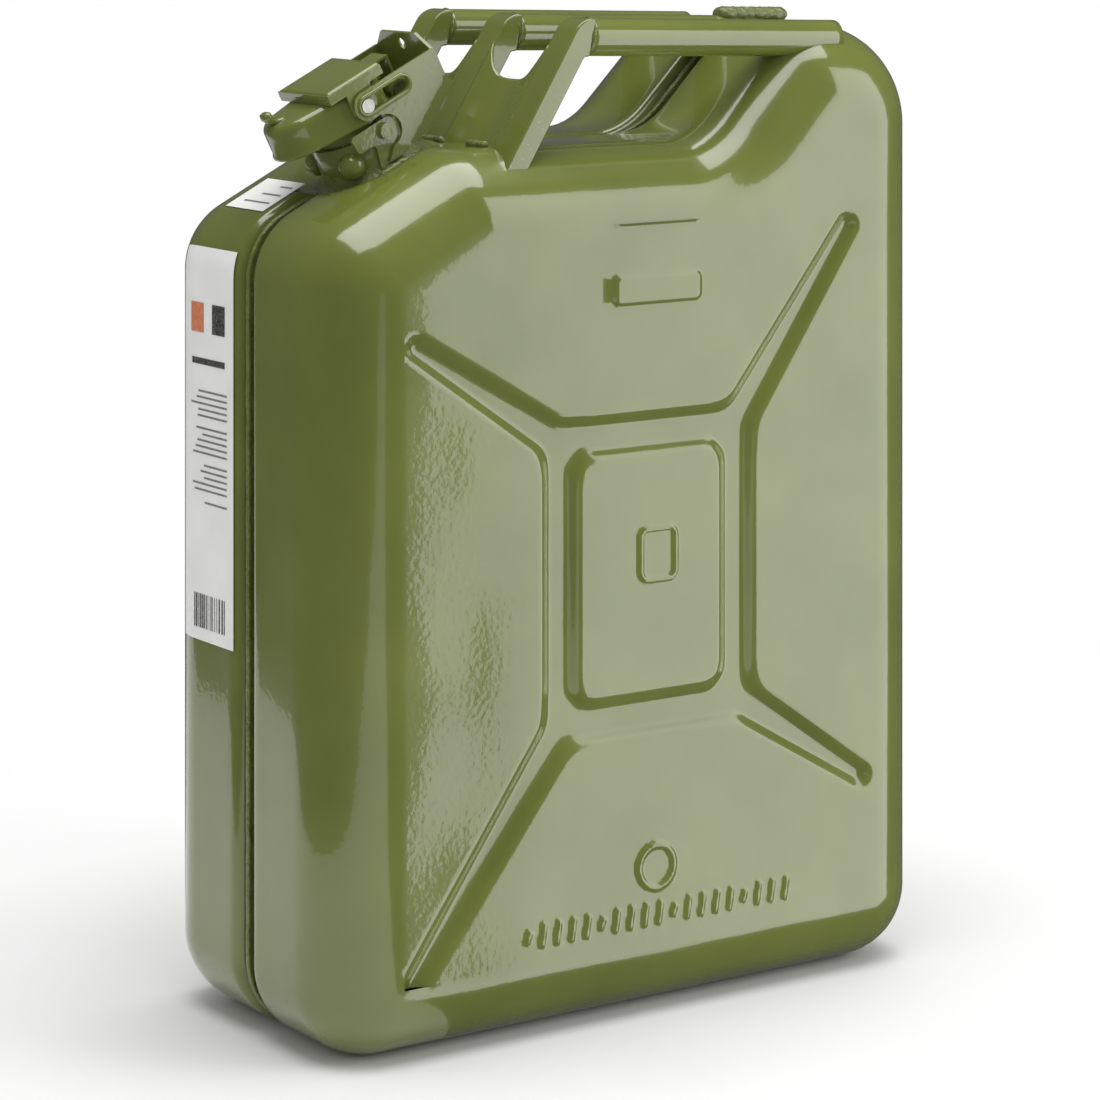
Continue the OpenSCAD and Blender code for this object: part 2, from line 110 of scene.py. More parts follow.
def build(name, points, faces, material, body, replaces=(), merge=2e-6):
    """Makes a smooth-shaded piece from points and faces, and lets it ride on a body."""
    mesh = bpy.data.meshes.new(name)
    mesh.from_pydata([tuple(p) for p in points], [], faces)
    shape = bmesh.new()
    shape.from_mesh(mesh)
    bmesh.ops.remove_doubles(shape, verts=shape.verts, dist=merge)
    bmesh.ops.recalc_face_normals(shape, faces=shape.faces)
    for face in shape.faces:
        face.smooth = True
    shape.to_mesh(mesh)
    shape.free()
    mesh.materials.append(material)
    piece = bpy.data.objects.new(name, mesh)
    bpy.context.scene.collection.objects.link(piece)
    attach(piece, body)
    if replaces:
        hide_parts(*replaces)
    return piece


def grid_faces(rows, columns, closed=False):
    """Quads of a grid of points stored row by row; closed joins the last column to the first."""
    faces = []
    for j in range(rows - 1):
        for i in range(columns if closed else columns - 1):
            right = (i + 1) % columns
            faces.append((j * columns + i, j * columns + right,
                          (j + 1) * columns + right, (j + 1) * columns + i))
    return faces


def tube(path, radii, sides=16, closed=False, stretch=1.0):
    """Points and faces of a tube along a path; stretch widens it across the path's own plane."""
    places = [Vector(p) for p in path]
    count = len(places)
    points = []
    for i, place in enumerate(places):
        ahead = places[(i + 1) % count] if closed or i < count - 1 else place
        behind = places[i - 1] if closed or i > 0 else place
        along = (ahead - behind).normalized()
        side = along.cross(Vector((0, 1, 0)))
        if side.length < 0.1:
            side = along.cross(Vector((0, 0, 1)))
        side.normalize()
        up = side.cross(along)
        for k in range(sides):
            a = 2 * math.pi * k / sides
            points.append(place + radii[i] * (math.cos(a) * side + stretch * math.sin(a) * up))
    if closed:
        points += points[:sides]
        return points, grid_faces(count + 1, sides, closed=True)
    faces = grid_faces(count, sides, closed=True)
    faces.append(tuple(range(sides)))
    faces.append(tuple(range((count - 1) * sides, count * sides)))
    return points, faces


def capsule(start, end, radius, steps=12):
    """Path and radii of a bead with round ends, for tube()."""
    start, end = Vector(start), Vector(end)
    reach = radius / (end - start).length
    path, radii = [], []
    for k in range(steps + 1):
        t = -math.cos(math.pi * k / steps) * (0.5 + reach) + 0.5
        over = max(0.0, -t, t - 1) / reach
        path.append(start + (end - start) * t)
        radii.append(radius * math.sqrt(max(0.02, 1 - over * over)))
    return path, radii


def bevel(piece, width, segments=2, angle=35):
    modifier = piece.modifiers.new("edges", "BEVEL")
    modifier.width = width
    modifier.segments = segments
    modifier.limit_method = "ANGLE"
    modifier.angle_limit = math.radians(angle)
    modifier.harden_normals = True
    return piece


def thicken(piece, thickness, offset=-1):
    modifier = piece.modifiers.new("sheet", "SOLIDIFY")
    modifier.thickness = thickness
    modifier.offset = offset
    return piece


# ---- materials ---------------------------------------------------------------------
class Nodes:
    """A material's node tree with short calls for the nodes used here."""

    def __init__(self, name):
        self.material = bpy.data.materials.new(name)
        self.material.use_nodes = True
        self.tree = self.material.node_tree
        self.shader = self.tree.nodes["Principled BSDF"]
        self.place = self.add("ShaderNodeTexCoord").outputs["Object"]

    def add(self, kind, **values):
        node = self.tree.nodes.new(kind)
        for key, value in values.items():
            if key in node.inputs:
                node.inputs[key].default_value = value
            else:
                setattr(node, key, value)
        return node

    def link(self, output, target):
        self.tree.links.new(output, target)

    def noise(self, scale, detail=2.0, roughness=0.5):
        node = self.add("ShaderNodeTexNoise", Scale=scale, Detail=detail, Roughness=roughness)
        self.link(self.place, node.inputs["Vector"])
        return node.outputs["Fac"]

    def ramp(self, source, stops):
        """A colour ramp over a 0 to 1 value; stops are (position, colour or grey)."""
        node = self.add("ShaderNodeValToRGB")
        self.link(source, node.inputs["Fac"])
        elements = node.color_ramp.elements
        while len(elements) < len(stops):
            elements.new(0.5)
        for element, (position, colour) in zip(elements, stops):
            if not isinstance(colour, tuple):
                colour = (colour, colour, colour)
            element.position = position
            element.color = (*colour, 1)
        return node.outputs["Color"]

    def mix(self, factor, first, second):
        node = self.add("ShaderNodeMix", data_type="RGBA")
        self.link(factor, node.inputs["Factor"])
        for value, target in ((first, node.inputs[6]), (second, node.inputs[7])):
            if isinstance(value, tuple):
                target.default_value = (*value, 1)
            else:
                self.link(value, target)
        return node.outputs[2]

    def bump(self, height, distance, below=None):
        node = self.add("ShaderNodeBump", Distance=distance)
        self.link(height, node.inputs["Height"])
        if below is not None:
            self.link(below, node.inputs["Normal"])
        return node.outputs["Normal"]

    def set(self, **values):
        for key, value in values.items():
            name = key.replace("_", " ")
            if isinstance(value, (float, int)):
                self.shader.inputs[name].default_value = value
            elif isinstance(value, tuple):
                self.shader.inputs[name].default_value = (*value, 1)
            else:
                self.link(value, self.shader.inputs[name])


def enamel(name, waviness=1.0):
    """Glossy olive enamel over sheet steel: faint colour drift, dust, orange peel and worn edges."""
    nodes = Nodes(name)
    drift = nodes.ramp(nodes.noise(14, 3), [(0.3, (0.118, 0.142, 0.026)), (0.7, (0.150, 0.176, 0.034))])
    edge = nodes.add("ShaderNodeNewGeometry").outputs["Pointiness"]
    sharp = nodes.ramp(edge, [(0.52, 0.0), (0.60, 1.0)])
    specks = nodes.ramp(nodes.noise(420, 4, 0.7), [(0.62, 0.0), (0.68, 1.0)])
    worn = nodes.add("ShaderNodeMath", operation="MULTIPLY")
    nodes.link(sharp, worn.inputs[0])
    nodes.link(specks, worn.inputs[1])
    colour = nodes.mix(worn.outputs[0], drift, (0.30, 0.30, 0.22))
    roughness = nodes.ramp(nodes.noise(30, 5, 0.6), [(0.3, 0.16), (0.8, 0.26)])
    swell = nodes.bump(nodes.noise(11, 1.0), 0.0016 * waviness)
    peel = nodes.bump(nodes.noise(330, 2.0), 0.00003, below=swell)
    nodes.set(Base_Color=colour, Roughness=roughness, Normal=peel, Coat_Weight=0.85,
              Coat_Roughness=0.035, IOR=1.5)
    nodes.link(peel, nodes.shader.inputs["Coat Normal"])
    return nodes.material


def weld_enamel():
    """The same enamel over a rippled weld bead."""
    nodes = Nodes("weld_enamel")
    drift = nodes.ramp(nodes.noise(60, 4), [(0.3, (0.10, 0.125, 0.022)), (0.7, (0.165, 0.19, 0.045))])
    lumps = nodes.bump(nodes.noise(420, 4, 0.6), 0.0009)
    roughness = nodes.ramp(nodes.noise(200, 3), [(0.3, 0.15), (0.8, 0.4)])
    nodes.set(Base_Color=drift, Roughness=roughness, Normal=lumps, Coat_Weight=0.8, Coat_Roughness=0.05)
    nodes.link(lumps, nodes.shader.inputs["Coat Normal"])
    return nodes.material


def zinc():
    """Zinc-plated steel with a fine brushed grain."""
    nodes = Nodes("zinc")
    tone = nodes.ramp(nodes.noise(90, 4), [(0.3, (0.36, 0.36, 0.33)), (0.7, (0.58, 0.58, 0.54))])
    roughness = nodes.ramp(nodes.noise(260, 3), [(0.3, 0.22), (0.8, 0.42)])
    nodes.set(Base_Color=tone, Metallic=1.0, Roughness=roughness,
              Normal=nodes.bump(nodes.noise(700, 2), 0.00004))
    return nodes.material


def seal_rubber():
    nodes = Nodes("seal_rubber")
    tone = nodes.ramp(nodes.noise(120, 4), [(0.3, (0.012, 0.012, 0.012)), (0.8, (0.035, 0.034, 0.032))])
    nodes.set(Base_Color=tone, Roughness=nodes.ramp(nodes.noise(60), [(0.3, 0.5), (0.8, 0.75)]),
              Normal=nodes.bump(nodes.noise(900, 3), 0.00005))
    return nodes.material


def label_paper():
    nodes = Nodes("label_paper")
    tone = nodes.ramp(nodes.noise(45, 4), [(0.3, (0.80, 0.80, 0.78)), (0.8, (0.88, 0.88, 0.86))])
    nodes.set(Base_Color=tone, Roughness=nodes.ramp(nodes.noise(80), [(0.3, 0.35), (0.8, 0.5)]),
              Normal=nodes.bump(nodes.noise(1100, 4), 0.00002))
    return nodes.material


def ink(name, colour):
    """Printed ink that lets a little of the paper through."""
    nodes = Nodes(name)
    pale = tuple(0.6 * c + 0.25 for c in colour)
    tone = nodes.ramp(nodes.noise(900, 4, 0.7), [(0.45, colour), (0.75, pale)])
    nodes.set(Base_Color=tone, Roughness=nodes.ramp(nodes.noise(200), [(0.3, 0.35), (0.8, 0.5)]))
    return nodes.material


PANEL_PAINT = enamel("panel_enamel")
FITTING_PAINT = enamel("fitting_enamel", waviness=0.25)
WELD_PAINT = weld_enamel()
ZINC = zinc()
RUBBER = seal_rubber()
PAPER = label_paper()
GREY_INK = ink("grey_ink", (0.16, 0.16, 0.17))
BLACK_INK = ink("black_ink", (0.02, 0.02, 0.02))
ORANGE_INK = ink("orange_ink", (0.62, 0.17, 0.05))


# ---- outline of the can ----------------------------------------------------------------
def rounded_path(corners, arc_step=math.radians(3), longest=4 * MM):
    """Points and inward normals all round a closed outline of (x, z, radius) corners."""
    count = len(corners)
    flat = [np.array(c[:2]) for c in corners]
    heading = []
    for i in range(count):
        step = flat[(i + 1) % count] - flat[i]
        heading.append(math.atan2(step[1], step[0]))
    points, normals = [], []

    def inward(angle):
        return np.array((-math.sin(angle), math.cos(angle)))

    def arc(i):
        before = heading[i - 1]
        turned = (heading[i] - before + math.pi) % (2 * math.pi) - math.pi
        radius = corners[i][2]
        reach = radius * math.tan(abs(turned) / 2)
        start = flat[i] - reach * np.array((math.cos(before), math.sin(before)))
        side = math.copysign(1, turned)
        centre = start + side * radius * inward(before)
        steps = max(2, math.ceil(abs(turned) / arc_step))
        angles = [before + turned * k / steps for k in range(steps + 1)]
        return [(centre - side * radius * inward(a), inward(a)) for a in angles]

    arcs = [arc(i) for i in range(count)]
    for i in range(count):
        for point, normal in arcs[i]:
            points.append(point)
            normals.append(normal)
        start, end = arcs[i][-1][0], arcs[(i + 1) % count][0][0]
        steps = math.ceil(np.linalg.norm(end - start) / longest)
        for k in range(1, steps):
            points.append(start + (end - start) * k / steps)
            normals.append(arcs[i][-1][1])
    return np.array(points), np.array(normals)


OUTLINE, INWARD = rounded_path(CORNERS)


# ---- what is pressed into the broad faces ------------------------------------------------
def sd_box(x, z, centre, half, radius):
    """Distance to a rounded box, negative inside."""
    dx = np.abs(x - centre[0]) - half[0] + radius
    dz = np.abs(z - centre[1]) - half[1] + radius
    outside = np.hypot(np.maximum(dx, 0), np.maximum(dz, 0))
    return outside + np.minimum(np.maximum(dx, dz), 0) - radius


def sd_segment(x, z, start, end, r_start, r_end=None):
    """Distance to a stroke whose half-width runs from r_start to r_end."""
    r_end = r_start if r_end is None else r_end
    ax, az = end[0] - start[0], end[1] - start[1]
    t = np.clip(((x - start[0]) * ax + (z - start[1]) * az) / (ax * ax + az * az), 0, 1)
    return np.hypot(x - start[0] - t * ax, z - start[1] - t * az) - (r_start + t * (r_end - r_start))


def smooth_min(a, b, k):
    h = np.clip(0.5 + 0.5 * (b - a) / k, 0, 1)
    return b * (1 - h) + a * h - k * h * (1 - h)


CROSS_Z = 209.5
PAD_HALF = (42.5, 57.5)
RING_WIDTH = 17.0
ARM_TIPS = [(118.5, 366), (-132.5, 36), (126.5, 97), (-129.5, 324)]


def cross_distance(x, z):
    """Distance in mm to the pressed channels: a ring round the pad and four tapering arms."""
    centre = (0, CROSS_Z)
    middle = (PAD_HALF[0] + RING_WIDTH / 2, PAD_HALF[1] + RING_WIDTH / 2)
    shape = np.abs(sd_box(x, z, centre, middle, 15)) - RING_WIDTH / 2
    for tip_x, tip_z in ARM_TIPS:
        root = (math.copysign(middle[0] - 3, tip_x), CROSS_Z + math.copysign(middle[1] - 3, tip_z - CROSS_Z))
        arm = sd_segment(x, z, root, (tip_x, tip_z), 9.0, 5.0)
        shape = smooth_min(shape, arm, 10)
    return shape


PLATE_CENTRE = (4, 343)
PLATE_HALF = (25, 6.5)
PLATE_CORNER_R = 3


def plate_distance(x, z):
    """Distance in mm to the plain raised plate high on the face."""
    return sd_box(x, z, PLATE_CENTRE, PLATE_HALF, PLATE_CORNER_R)


def marks_distance(x, z):
    """Distance in mm to the plain raised marks: a bar, a ring, an outline on the pad and a row of ticks."""
    shape = sd_segment(x, z, (-18, 375), (26, 375), 1.7)
    shape = np.minimum(shape, np.abs(np.hypot(x - 3.5, z - 71) - 10) - 1.2)
    shape = np.minimum(shape, np.abs(sd_box(x, z, (4.5, 218), (10, 12), 4)) - 0.9)
    for i in range(19):
        tick_x = -70 + 8.3 * i
        tall = 4.5 if i % 5 else 2.0
        shape = np.minimum(shape, sd_segment(x, z, (tick_x, 49 - tall), (tick_x + 1.5, 49 + tall), 0.9))
    return shape


MIRROR_SUM = 2 * PLATE_CENTRE[0]     # X is mirrored for the right face, so both look alike from outside
CROSS_DEPTH = 3.4
PLATE_HEIGHT = 1.3
MARK_HEIGHT = 0.9


def pressed(x, z, side):
    """How far a broad face moves inwards at (x, z), in metres."""
    x, z = x / MM, z / MM
    reading_x = x if side == LEFT else MIRROR_SUM - x
    cross = CROSS_DEPTH * (1 - smoothstep(-4.5, 3.0, cross_distance(x, z)))
    plate = PLATE_HEIGHT * (1 - smoothstep(-0.9, 1.1, plate_distance(reading_x, z)))
    marks = MARK_HEIGHT * (1 - smoothstep(-0.6, 0.9, marks_distance(reading_x, z)))
    return (cross - plate - marks) * MM


# ---- shells --------------------------------------------------------------------------------
def inside_polygon(x, z, polygon):
    """Even-odd test of many points against a closed polygon."""
    inside = np.zeros(len(x), bool)
    for a, b in zip(polygon, np.roll(polygon, -1, axis=0)):
        crosses = (a[1] > z) != (b[1] > z)
        if not crosses.any():
            continue
        at = a[0] + (z - a[1]) * (b[0] - a[0]) / (b[1] - a[1] + 1e-12)
        inside ^= crosses & (x < at)
    return inside


def face_points():
    """Points over the flat of a broad face, close together where something is pressed."""
    fine = 1.25 * MM
    coarse = 5
    x, z = np.meshgrid(np.arange(-HALF_LENGTH, HALF_LENGTH, fine), np.arange(0, HUMP_Z, fine))
    column, row = np.meshgrid(np.arange(x.shape[1]), np.arange(x.shape[0]))
    x, z, column, row = x.ravel(), z.ravel(), column.ravel(), row.ravel()
    xm, zm = x / MM, z / MM
    wall = np.abs(cross_distance(xm, zm) + 0.7) < 6.5
    raised = np.minimum(plate_distance(xm, zm), marks_distance(xm, zm))
    raised = np.minimum(raised, marks_distance(MIRROR_SUM - xm, zm))
    keep = wall | (raised < 2.5) | ((column % coarse == 0) & (row % coarse == 0))
    edge = OUTLINE + INWARD * (EDGE_R + 1.2 * MM)
    keep &= inside_polygon(x, z, edge)
    return np.stack([x[keep], z[keep]], axis=1)


def face_mesh(side, ring):
    """Triangles that fill the ring of a broad face, with the pressing in their points."""
    inner = face_points()
    border = []
    for point in ring:
        if not border or np.linalg.norm(point - border[-1]) > 1e-5:
            border.append(point)
    flat = [Vector(p) for p in np.vstack([np.array(border), inner])]
    loop = list(range(len(border)))
    points, _, faces, *_ = delaunay_2d_cdt(flat, [], [loop], 1, 1e-7)
    x = np.array([p.x for p in points])
    z = np.array([p.y for p in points])
    y = side * (HALF_WIDTH - pressed(x, z, side))
    return np.stack([x, y, z], axis=1), [tuple(f) for f in faces]


LIP_R = 6.5 * MM
GROOVE_Y = 5.0 * MM
GROOVE_DEPTH = 8.5 * MM


def rim_profile():
    """(depth below the outline, distance from the seam) from the groove's floor to the broad face."""
    profile = [(GROOVE_DEPTH, 0.0), (GROOVE_DEPTH, 2.0 * MM), (GROOVE_DEPTH - 0.4 * MM, 3.6 * MM),
               (GROOVE_DEPTH - 1.4 * MM, 4.7 * MM)]
    for a in np.linspace(0, math.pi / 2, 7):
        profile.append((LIP_R - LIP_R * math.sin(a), GROOVE_Y + LIP_R - LIP_R * math.cos(a)))
    for y in np.arange(15, 46, 3.5):
        profile.append((0.0, y * MM))
    for a in np.linspace(0, math.pi / 2, 17):
        profile.append((EDGE_R - EDGE_R * math.cos(a), FLAT_Y + EDGE_R * math.sin(a)))
    return profile


def press_seat(points):
    """Sinks the sheet round the neck into a flat seat that the groove runs out into."""
    u = (points[:, 0] - CLOSURE.x) * math.cos(SLOPE) + (points[:, 2] - CLOSURE.z) * math.sin(SLOPE)
    w = -(points[:, 0] - CLOSURE.x) * math.sin(SLOPE) + (points[:, 2] - CLOSURE.z) * math.cos(SLOPE)
    near = 1 - smoothstep(27 * MM, 37 * MM, np.hypot(u, points[:, 1]))
    near *= (w > -40 * MM) & (w < 40 * MM)
    w_new = w + (SEAT_W - w) * near
    moved = points.copy()
    moved[:, 0] = CLOSURE.x + u * math.cos(SLOPE) - w_new * math.sin(SLOPE)
    moved[:, 2] = CLOSURE.z + u * math.sin(SLOPE) + w_new * math.cos(SLOPE)
    return moved


def shell(side, name, node):
    profile = rim_profile()
    rows = []
    for depth, y in profile:
        ring = OUTLINE + INWARD * depth
        rows.append(np.stack([ring[:, 0], np.full(len(ring), side * y), ring[:, 1]], axis=1))
    points = press_seat(np.vstack(rows))
    faces = grid_faces(len(profile), len(OUTLINE), closed=True)
    face_pts, face_tris = face_mesh(side, OUTLINE + INWARD * EDGE_R)
    shift = len(points)
    faces += [tuple(i + shift for i in f) for f in face_tris]
    return build(name, np.vstack([points, face_pts]), faces, PANEL_PAINT, "can",
                 replaces=[node], merge=1.5e-5)


shell(LEFT, "left_panel", "left_shell")
shell(RIGHT, "right_panel", "right_shell")


RIPPLE_LENGTH = 2.5 * MM


def ripple(points, size, seed):
    """Moves points a little, as a weld bead's ripples do."""
    scale = 1 / RIPPLE_LENGTH
    random.seed(seed)
    phases = [random.uniform(0, 2 * math.pi) for _ in range(6)]
    moved = []
    for x, y, z in points:
        a = math.sin(scale * (x + z) * 2.1 + phases[0]) * math.sin(scale * (x - z) * 1.3 + phases[1])
        b = math.sin(scale * (y + x) * 1.7 + phases[2]) * math.sin(scale * (z - y) * 2.3 + phases[3])
        c = math.sin(scale * (y - z) * 1.1 + phases[4]) * math.sin(scale * (x + y) * 2.7 + phases[5])
        moved.append((x + size * a, y + size * b, z + size * c))
    return moved


def seam_bead():
    """The welded flange that stands in the groove, with a rounded bead along its edge."""
    section = [(GROOVE_DEPTH, -0.9), (3.6 * MM, -0.9), (2.6 * MM, -1.5), (1.8 * MM, -0.9),
               (1.5 * MM, 0.0), (1.8 * MM, 0.9), (2.6 * MM, 1.5), (3.6 * MM, 0.9), (GROOVE_DEPTH, 0.9)]
    rows = []
    for depth, y in section:
        ring = OUTLINE + INWARD * depth
        rows.append(np.stack([ring[:, 0], np.full(len(ring), y * MM), ring[:, 1]], axis=1))
    points = press_seat(np.vstack(rows))
    build("seam_bead", ripple(points, 0.15 * MM, 3), grid_faces(len(section), len(OUTLINE), closed=True),
          WELD_PAINT, "can", replaces=["seam_weld"])


seam_bead()


# ---- labels --------------------------------------------------------------------------------
def rim_depth(y):
    """Depth of the rim below the outline at a distance from the seam."""
    out = np.maximum(np.abs(y) - FLAT_Y, 0)
    return EDGE_R - np.sqrt(EDGE_R ** 2 - out ** 2)


def outline_run(low_z, high_z, steps):
    """Points and inward normals up the spout end and over its top corner, between two heights."""
    front = [i for i in range(len(OUTLINE)) if OUTLINE[i, 0] < CLOSURE.x and OUTLINE[i, 1] > 60 * MM]
    front.sort(key=lambda i: OUTLINE[i, 1])
    heights = np.linspace(low_z, high_z, steps)
    known = OUTLINE[front, 1]
    points = np.stack([np.interp(heights, known, OUTLINE[front, 0]), heights], axis=1)
    normals = np.stack([np.interp(heights, known, INWARD[front, k]) for k in (0, 1)], axis=1)
    return points, normals / np.linalg.norm(normals, axis=1)[:, None]


def stuck_sheet(name, low_z, high_z, near_y, far_y, lift, material, replaces=()):
    """A thin sheet that follows the surface of the spout end."""
    rows, columns = 60, 24
    points, normals = outline_run(low_z, high_z, rows)
    sheet = []
    for point, normal in zip(points, normals):
        for y in np.linspace(near_y, far_y, columns):
            place = point + normal * (rim_depth(y) - lift)
            sheet.append((place[0], y, place[1]))
    return build(name, sheet, grid_faces(rows, columns), material, "can", replaces)


SIDE_LABEL = (177 * MM, 362 * MM, 9 * MM, 58 * MM)


def side_label():
    """The long label: plain grey lines, plain blocks and a band of stripes stand in for its print."""
    low, high, near, far = SIDE_LABEL
    stuck_sheet("side_label_sheet", low, high, near, far, 0.25 * MM, PAPER, ["side_label"])
    print_lift = 0.4 * MM
    random.seed(11)
    z = high - 68 * MM
    count = 0
    while z > low + 62 * MM:
        count += 1
        if count % 6:
            length = random.uniform(0.55, 0.95) * (far - near - 12 * MM)
            stuck_sheet(f"print_line_{count}", z, z + 0.9 * MM, near + 6 * MM, near + 6 * MM + length,
                        print_lift, GREY_INK)
        z -= 2.9 * MM
    blocks = (("print_block_a", near + 8 * MM, BLACK_INK), ("print_block_b", near + 28 * MM, ORANGE_INK))
    for name, y, ink_used in blocks:
        stuck_sheet(name, high - 40 * MM, high - 26 * MM, y, y + 12 * MM, print_lift, ink_used)
    stuck_sheet("print_title", high - 55 * MM, high - 52 * MM, near + 8 * MM, far - 10 * MM,
                print_lift, BLACK_INK)
    y = near + 8 * MM
    count = 0
    while y < far - 12 * MM:
        count += 1
        width = random.choice((0.5, 0.8, 1.2)) * MM
        stuck_sheet(f"print_stripe_{count}", low + 6 * MM, low + 22 * MM, y, y + width,
                    print_lift, BLACK_INK)
        y += width + random.choice((0.7, 1.0, 1.5)) * MM


def top_label():
    """The label on the slope, with three plain lines."""
    def patch(name, u, v, lift, material, replaces=()):
        rows = columns = 8
        points = [from_closure(a, b, lift)
                  for a in np.linspace(*u, rows) for b in np.linspace(*v, columns)]
        build(name, points, grid_faces(rows, columns), material, "can", replaces)

    slope_w = (CLOSURE.x - SLOPE_END_X) * math.sin(SLOPE)
    patch("top_label_sheet", (-54 * MM, -28 * MM), (11 * MM, 46 * MM), slope_w + 0.25 * MM, PAPER,
          ["top_label"])
    for i in range(3):
        u = (-48 + 7 * i) * MM
        patch(f"top_print_{i}", (u, u + 1.2 * MM), (15 * MM, (38 - 6 * i) * MM),
              slope_w + 0.35 * MM, GREY_INK)


side_label()
top_label()


# ---- lid -------------------------------------------------------------------------------------
LID_R = 21.3 * MM
CHIN_R = 16 * MM
CHIN_U = -24.5 * MM
LID_LOW = 14 * MM
LID_TOP = 31.2 * MM


EGG_POINTS = 96


def egg(inset):
    """Outline of the lid in its own plane: a round over the neck, a smaller one over the lip."""
    lean = math.asin((LID_R - CHIN_R) / -CHIN_U)
    quarter = math.pi / 2
    points = []
    for a in np.linspace(-quarter - lean, quarter + lean, EGG_POINTS // 2):
        points.append(((LID_R - inset) * math.cos(a), (LID_R - inset) * math.sin(a)))
    for a in np.linspace(quarter + lean, 3 * quarter - lean, EGG_POINTS // 2):
        points.append((CHIN_U + (CHIN_R - inset) * math.cos(a), (CHIN_R - inset) * math.sin(a)))
    return points


def lid_cup():
    """The pressed cup of the lid, with a rounded top edge and a rolled lower one."""
    top_r = 4.5 * MM
    profile = [(-0.5 * MM, LID_LOW), (-0.7 * MM, LID_LOW + 0.8 * MM), (-0.4 * MM, LID_LOW + 1.7 * MM),
               (0.0, LID_LOW + 2.4 * MM), (0.0, LID_TOP - top_r - 2 * MM)]
    for a in np.linspace(0, math.pi / 2, 9):
        profile.append((top_r - top_r * math.cos(a), LID_TOP - top_r + top_r * math.sin(a)))
    rings = [[from_closure(u, v, w) for u, v in egg(inset)] for inset, w in profile]
    count = len(rings[0])
    points = [point for ring in rings for point in ring]
    faces = grid_faces(len(rings), count, closed=True)
    faces.append(tuple(range((len(rings) - 1) * count, len(rings) * count)))
    cup = build("lid_cup", points, faces, FITTING_PAINT, "lid", replaces=["lid"])
    thicken(cup, 1.2 * MM)


def lid_nub():
    """The small turned-up nub at the front of the chin."""
    path = [(-28, 30.4), (-32, 30.9), (-35, 32.0), (-36.9, 33.8), (-37.6, 35.8), (-37.7, 37.4),
            (-37.6, 38.4)]
    radii = [r * MM for r in (1.6, 1.6, 1.7, 1.9, 2.6, 2.4, 0.9)]
    points, faces = tube([from_closure(u * MM, 0, w * MM) for u, w in path], radii, stretch=1.5)
    build("lid_nub", points, faces, FITTING_PAINT, "lid")


def saddle_crown():
    """The pressed top of the saddle: its sheet rolls over at both sides and at the front."""
    rows, columns = 26, 40
    front, rear, half = -16.4 * MM, 16.0 * MM, 22.4 * MM
    top, shoulder = 36.9 * MM, 3.2 * MM
    points = []
    for i in range(rows):
        for j in range(columns):
            u = front + (rear - front) * i / (rows - 1)
            v = half * (2 * j / (columns - 1) - 1)
            inset = min(half - abs(v), u - front)
            over = min(1.0, max(0.0, 1 - inset / shoulder))
            points.append(from_closure(u, v, top - shoulder * (1 - math.sqrt(max(0.0, 1 - over * over)))))
    crown = build("saddle_crown", points, grid_faces(rows, columns), FITTING_PAINT, "lid")
    thicken(crown, 0.9 * MM)


lid_cup()
lid_nub()
saddle_crown()


# ---- lever's slots ---------------------------------------------------------------------------
PIVOT_U = 0.2 * MM
PIVOT_W = 22.4 * MM
SLOT_LENGTH = 21 * MM
CHEEK_FACE = 25.0 * MM     # outer face of the lever's cheeks, from the seam plane


def slot_rim(side, name):
    """The rolled rim round a slot of the lever."""
    front, rear, w = PIVOT_U, PIVOT_U + SLOT_LENGTH, PIVOT_W
    radius = 4.5 * MM
    roll_r = 0.95 * MM
    ring = [(rear + radius * math.sin(a), w + radius * math.cos(a)) for a in np.linspace(0, math.pi, 14)]
    ring += [(front - radius * math.sin(a), w - radius * math.cos(a)) for a in np.linspace(0, math.pi, 14)]
    path = [from_closure(u, side * CHEEK_FACE, height) for u, height in ring]
    points, faces = tube(path, [roll_r] * len(path), sides=10, closed=True)
    build(name, points, faces, FITTING_PAINT, "lever")


slot_rim(LEFT, "left_slot_rim")
slot_rim(RIGHT, "right_slot_rim")


# ---- foot of the neck ------------------------------------------------------------------------
def neck_fillet():
    """The smooth welded fillet where the neck leaves its seat."""
    profile = [(30, -12.3), (27, -12.0), (24.6, -11.1), (22.9, -9.4), (21.9, -7.2), (21.4, -5.0)]
    turns = 96
    points = []
    for radius, w in profile:
        for k in range(turns):
            a = 2 * math.pi * k / turns
            points.append(from_closure(radius * MM * math.cos(a), radius * MM * math.sin(a), w * MM))
    build("neck_fillet", ripple(points, 0.12 * MM, 5), grid_faces(len(profile), turns, closed=True),
          WELD_PAINT, "can", replaces=["neck_weld"])


def hook_plate_bead(side, name, replaces=()):
    """The lumpy bead along the foot of a hook plate."""
    v, w = side * 24.6 * MM, SEAT_W + 1.5 * MM
    start = from_closure(-6 * MM, v, w)
    end = from_closure(7 * MM, v, w)
    path, radii = capsule(start, end, 2.3 * MM, 40)
    points, faces = tube(path, radii, sides=20)
    build(name, ripple(points, 0.35 * MM, 7), faces, WELD_PAINT, "can", replaces=replaces)


neck_fillet()
hook_plate_bead(LEFT, "left_hook_bead", ["hook_plate_welds"])
hook_plate_bead(RIGHT, "right_hook_bead")


# ---- handles -----------------------------------------------------------------------------------
PITCH = 61.5 * MM
GRIP_R = 9 * MM
GRIP_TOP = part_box("centre_handle")[1].z
GRIP_REAR = 126 * MM
GRIP_FALL = math.radians(1.8)
LEG_LEAN = math.radians(58)
LEG_FOOT_X = -68 * MM
LEG_DEPTH = 13 * MM
LEG_HALF = 8.5 * MM
MITRE_X = -26 * MM
MITRE_LEAN = 4 * MM


def leg_front_x(z):
    """X of the front plane of the legs at a height."""
    return LEG_FOOT_X + (z - TROUGH_Z) / math.tan(LEG_LEAN)


